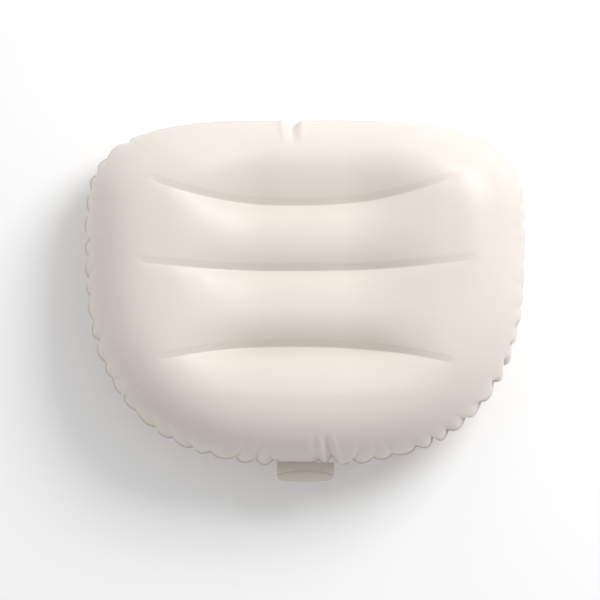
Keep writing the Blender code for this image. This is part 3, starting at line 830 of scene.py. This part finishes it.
def film_material(name, colour, roughness, vary=0.02, grain=0.12, sheen=0.15):
    """Satin film: faint clouding, uneven gloss, a fine calendered grain and slow ripples."""
    material, tree, shader = new_material(name)
    place = tree.nodes.new("ShaderNodeTexCoord").outputs["Object"]
    tone = tree.nodes.new("ShaderNodeMix")
    tone.data_type = "RGBA"
    tone.inputs["A"].default_value = (*[c * (1 - vary) for c in colour], 1)
    tone.inputs["B"].default_value = (*[min(1, c * (1 + vary)) for c in colour], 1)
    tree.links.new(add_range(tree, add_noise(tree, place, CLOUD_SCALE, 3), 0, 1), tone.inputs["Factor"])
    tree.links.new(tone.outputs["Result"], shader.inputs["Base Color"])
    gloss = add_noise(tree, place, GLOSS_SCALE, 3)
    gloss = add_range(tree, gloss, roughness - GLOSS_SPREAD, roughness + GLOSS_SPREAD)
    tree.links.new(gloss, shader.inputs["Roughness"])
    ripples = add_bump(tree, add_noise(tree, place, RIPPLE_SCALE, 1), RIPPLE_STRENGTH, RIPPLE_DEPTH)
    normal = add_bump(tree, add_noise(tree, place, GRAIN_SCALE, 2), grain, GRAIN_DEPTH, ripples)
    tree.links.new(normal, shader.inputs["Normal"])
    shader.inputs["Sheen Weight"].default_value = sheen
    shader.inputs["Sheen Roughness"].default_value = 0.5
    shader.inputs["Specular IOR Level"].default_value = 0.45
    return material


def floor_material():
    material, tree, shader = new_material("floor_paint")
    place = tree.nodes.new("ShaderNodeTexCoord").outputs["Object"]
    shader.inputs["Base Color"].default_value = (*FLOOR_WHITE, 1)
    tree.links.new(add_range(tree, add_noise(tree, place, 6), 0.75, 0.85), shader.inputs["Roughness"])
    shader.inputs["Specular IOR Level"].default_value = 0.2
    return material


def dress_valve():
    moulded = film_material("moulded_tpu", VALVE_CREAM, 0.35, vary=0.01, grain=0.3, sheen=0)
    silicone = film_material("clear_silicone", SILICONE_GREY, 0.3, vary=0.01, grain=0.2, sheen=0)
    for name in ("valve_base", "valve_plug", "valve_cap", "check_flap"):
        node = frame["nodes"][name]
        node.data.materials.clear()
        node.data.materials.append(silicone if name == "check_flap" else moulded)


# ---------------------------------------------------------------- stage, lights and camera
def build_stage():
    bpy.ops.mesh.primitive_plane_add(size=FLOOR_SIZE, location=(0, 0, -FLOOR_DROP))
    floor = bpy.context.object
    floor.name = "floor"
    floor.data.materials.append(floor_material())


def add_area_light(name, position, target, size, energy):
    light = bpy.data.lights.new(name, "AREA")
    light.shape = "DISK"
    light.size = size
    light.energy = energy
    lamp = bpy.data.objects.new(name, light)
    lamp.location = position
    direction = Vector(target) - Vector(position)
    lamp.rotation_euler = direction.to_track_quat("-Z", "Y").to_euler()
    bpy.context.scene.collection.objects.link(lamp)


def build_world():
    """Soft studio surround, brighter behind the head edge than in front of the neck edge."""
    world = bpy.data.worlds.new("studio")
    bpy.context.scene.world = world
    world.use_nodes = True
    tree = world.node_tree
    split = tree.nodes.new("ShaderNodeSeparateXYZ")
    tree.links.new(tree.nodes.new("ShaderNodeTexCoord").outputs["Generated"], split.inputs["Vector"])
    mapping = tree.nodes.new("ShaderNodeMapRange")
    mapping.inputs["From Min"].default_value = -1
    mapping.inputs["From Max"].default_value = 1
    mapping.inputs["To Min"].default_value = WORLD_AT_NECK
    mapping.inputs["To Max"].default_value = WORLD_AT_HEAD
    tree.links.new(split.outputs["Y"], mapping.inputs["Value"])
    background = tree.nodes["Background"]
    background.inputs["Color"].default_value = (1, 1, 1, 1)
    tree.links.new(mapping.outputs["Result"], background.inputs["Strength"])


def build_camera():
    """Straight above, far off on a long lens, and a little to the left of the pillow."""
    camera = bpy.data.cameras.new("camera")
    camera.lens = CAMERA_LENS
    holder = bpy.data.objects.new("camera", camera)
    bpy.context.scene.collection.objects.link(holder)
    holder.location = CAMERA_PLACE
    bpy.context.scene.camera = holder


# ---------------------------------------------------------------- build
def main():
    plan = Plan()
    rim = inflated_rim(plan)
    upper_surface = sheet_surface(plan, rim, 1)
    lower_surface = sheet_surface(plan, rim, -1)
    build_sheets(upper_surface, lower_surface)
    web_material = film_material("web_film", WEB_CREAM, 0.5)
    for number, crease in enumerate(CREASES):
        row = sum(BAND_ROWS[: number + 1])
        build_web(crease, row, upper_surface[0], lower_surface[0], web_material)
    build_tab()
    dress_valve()
    build_stage()
    add_area_light("key", **KEY_LIGHT)
    add_area_light("fill", **FILL_LIGHT)
    build_world()
    build_camera()
    bpy.context.scene.view_settings.view_transform = "Standard"


main()
